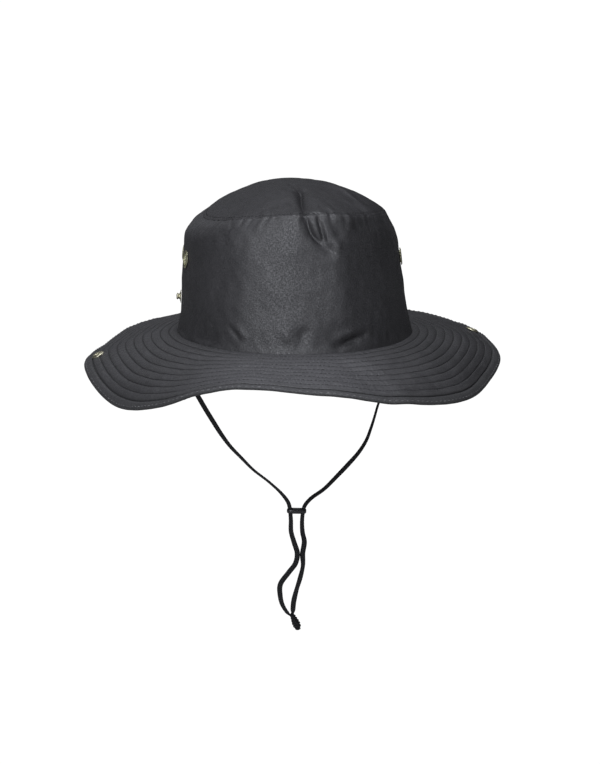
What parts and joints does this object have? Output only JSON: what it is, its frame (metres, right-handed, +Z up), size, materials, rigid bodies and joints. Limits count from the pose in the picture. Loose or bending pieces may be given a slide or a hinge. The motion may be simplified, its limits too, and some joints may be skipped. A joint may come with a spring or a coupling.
{
  "type": "bush hat",
  "caption": "Dark cloth bush hat with a soft oval crown, a wide floppy brim sewn in rings, screened vents, side snaps and a hanging chin cord with a slider and a knot.",
  "frame": {"origin": "middle of the head opening, level with the seam between crown and brim", "axes": "+Z up out of the crown, -Y towards the front of the hat, +X to the right of someone who looks at its front"},
  "size_m": [0.3233, 0.354, 0.3563],
  "materials": {
    "crown_cloth": "close plain weave, charcoal, with a faint sheen",
    "brim_cloth": "the same cloth in two plies, sewn in rings",
    "vent_brass": "dull antique brass, brighter on its rim",
    "screen_wire": "fine woven wire",
    "snap_brass": "worn antique brass",
    "cord_braid": "flat black braid",
    "slider_plastic": "moulded, satin"
  },
  "bodies": {
    "root": {"crown_wall": "crown_cloth", "crown_tip": "crown_cloth", "brim": "brim_cloth", "vent_left_front": "vent_brass", "vent_left_rear": "vent_brass", "vent_right_front": "vent_brass", "vent_right_rear": "vent_brass", "screen_left_front": "screen_wire", "screen_left_rear": "screen_wire", "screen_right_front": "screen_wire", "screen_right_rear": "screen_wire", "crown_snap_stud_left": "snap_brass", "crown_snap_stud_right": "snap_brass", "crown_snap_cap_left": "snap_brass", "crown_snap_cap_right": "snap_brass", "brim_snap_socket_left": "snap_brass", "brim_snap_socket_right": "snap_brass", "brim_snap_cap_left": "snap_brass", "brim_snap_cap_right": "snap_brass", "chin_cord_left": "cord_braid", "chin_cord_right": "cord_braid", "cord_slider": "slider_plastic", "cord_knot": "cord_braid"}
  },
  "joints": []
}
